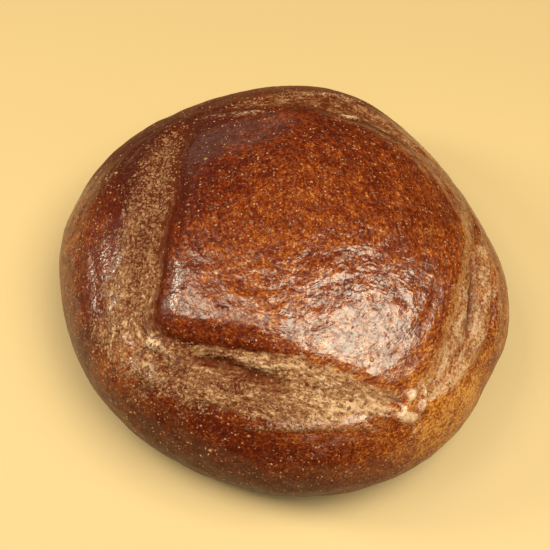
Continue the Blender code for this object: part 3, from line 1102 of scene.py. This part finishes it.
# %% Put the crust's material together
def crust_material():
    material, tree = new_material("baked crust")
    at = masks_and_patterns(tree)
    at["bare"] = bare_crumb(tree, at)
    at["hidden"] = crease_shade_share(tree, at)
    at["dull"] = greatest(tree, at["bare"], at["base"], at["hidden"], at["crease_shade"])
    rough = ranged(tree, at["dull"], 0.0, 1.0, SKIN_ROUGHNESS, CRUMB_ROUGHNESS)
    normal = tilted(tree, fine_relief(tree, at))
    set_shader(tree, {
        "Base Color": whole_colour(tree, at),
        "Roughness": greatest(tree, rough, product(tree, at["matte"], MATTE_ROUGHNESS)),
        "Specular IOR Level": SPECULAR_LEVEL,
        "Coat Weight": gloss(tree, at),
        "Coat Roughness": COAT_ROUGHNESS,
        "Coat IOR": COAT_IOR,
        "Normal": normal,
        "Coat Normal": normal,
    })
    return material


crust_piece.data.materials.append(crust_material())
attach(crust_piece, "root")
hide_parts("loaf")

# %% The lumps' material
# The lightest tones paint small glints as well as pale bran.
FLAKE_AND_GLINT_TONES = (
    (0.0, (0.210, 0.058, 0.016, 1)),
    (0.5, (0.320, 0.135, 0.054, 1)),
    (1.0, (0.405, 0.222, 0.120, 1)),
)
LUMP_SPECULAR = 0.3
UNEVEN = 0.08  # how far a lump's roughness wavers each way


def lump_material(name, tones, roughness):
    """Each lump has its own shade from a run of tones, with fine noise over it."""
    material, tree = new_material(name)
    grit = centred(tree, add(tree, "TexCoord").outputs["Object"], 0.0006, 2.0, 0.6)
    tone = total(tree, (0.40, attribute(tree, "shade")), (1.0, 0.26), (0.8, grit))
    set_shader(tree, {
        "Base Color": colour_ramp(tree, tone, tones),
        "Roughness": ranged(tree, grit, -0.2, 0.2, roughness - UNEVEN, roughness + UNEVEN),
        "Specular IOR Level": LUMP_SPECULAR,
        "Normal": tilted(tree, total(tree, (0.0002, grit))),
    })
    return material


for piece, tones, roughness in ((flakes, FLAKE_AND_GLINT_TONES, 0.45), (granules, CRUMB_TONES, 0.60)):
    piece.data.materials.append(lump_material(piece.name, tones, roughness))
    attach(piece, "root")

# %% [markdown]
# ## Floor, light and camera
# The loaf stands on a plain floor. Its gloss shows whatever is above it, so the lights are broad panels: a
# large one overhead to the right, two smaller ones overhead to the left and in the middle, and a window at
# the left. A weak one in front and a weak one behind open up the shadows.

# %% Floor
FLOOR = (0.45, 0.318, 0.157, 1)
FLOOR_ROUGHNESS = 0.6
FLOOR_HALF = 3  # metres
FLOOR_LEVEL = -0.2 * MM  # just below the loaf, so that the two surfaces never coincide

corners = [[x, y, FLOOR_LEVEL] for x in (-FLOOR_HALF, FLOOR_HALF) for y in (-FLOOR_HALF, FLOOR_HALF)]
floor = new_mesh("floor", np.array(corners), np.array([[0, 2, 3, 1]]))
floor_material, floor_tree = new_material("pale floor")
set_shader(floor_tree, {"Base Color": FLOOR, "Roughness": FLOOR_ROUGHNESS})
floor.data.materials.append(floor_material)
floor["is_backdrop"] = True
print(f"floor {2 * FLOOR_HALF} m wide")

# %% Lights
WARM = (1.0, 0.965, 0.725)
SKY, SKY_STRENGTH = (1.0, 0.84, 0.60, 1), 0.04  # faint light from all round
AIM = (0, 0, 0.05)  # the place that all of them face
LIGHTS = (  # name, place, width and length in metres, power in watts
    ("overhead right", (0.47, -0.16, 1.14), 0.85, 0.73, 23.2),
    ("overhead left", (-0.53, 0.00, 1.11), 0.48, 0.38, 6.0),
    ("overhead middle", (-0.06, -0.16, 1.20), 0.50, 0.42, 3.0),
    ("left window", (-1.00, 0.12, 0.70), 0.26, 0.40, 9.4),
    ("front fill", (0.25, -0.98, 0.60), 0.40, 0.16, 0.5),
    ("back", (-0.35, 1.00, 0.50), 0.70, 0.35, 0.50),
)


def aim(thing, place, target):
    """Puts a lamp or camera at a place, looking at a target."""
    thing.location = place
    thing.rotation_euler = (Vector(target) - Vector(place)).to_track_quat("-Z", "Y").to_euler()


for name, place, width, length, power in LIGHTS:
    lamp = bpy.data.lights.new(name, "AREA")
    lamp.shape = "RECTANGLE"
    lamp.size = width
    lamp.size_y = length
    lamp.energy = power
    lamp.color = WARM
    light = bpy.data.objects.new(name, lamp)
    bpy.context.scene.collection.objects.link(light)
    aim(light, place, AIM)

world = bpy.data.worlds.new("studio")
world.use_nodes = True
world.node_tree.nodes["Background"].inputs["Color"].default_value = SKY
world.node_tree.nodes["Background"].inputs["Strength"].default_value = SKY_STRENGTH
bpy.context.scene.world = world
bpy.context.scene.view_settings.view_transform = "Standard"
print(f"{len(LIGHTS)} lights, {sum(row[-1] for row in LIGHTS):.1f} watts in all")

# %% Camera
CAMERA_TILT = np.radians(61)
CAMERA_DISTANCE = 0.4545
LENS, SENSOR = 56.3, 36  # mm
TARGET = (-3.8 * MM, -7.4 * MM, 0.045)  # from the middle of the loaf

target = Vector((middle[0] + TARGET[0], middle[1] + TARGET[1], TARGET[2]))
camera_data = bpy.data.cameras.new("camera")
camera_data.lens = LENS
camera_data.sensor_width = SENSOR
camera = bpy.data.objects.new("camera", camera_data)
bpy.context.scene.collection.objects.link(camera)
aim(camera, target + CAMERA_DISTANCE * Vector((0, -np.cos(CAMERA_TILT), np.sin(CAMERA_TILT))), target)
bpy.context.scene.camera = camera
print("camera at", [round(value, 3) for value in camera.location])

# %% Compare the sizes and finish
new_low, new_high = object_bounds()
gaps = (*(new_low - cad_low), *(cad_high - new_high))
print("inside the solid's box by", [round(gap * 1000, 2) for gap in gaps], "mm")
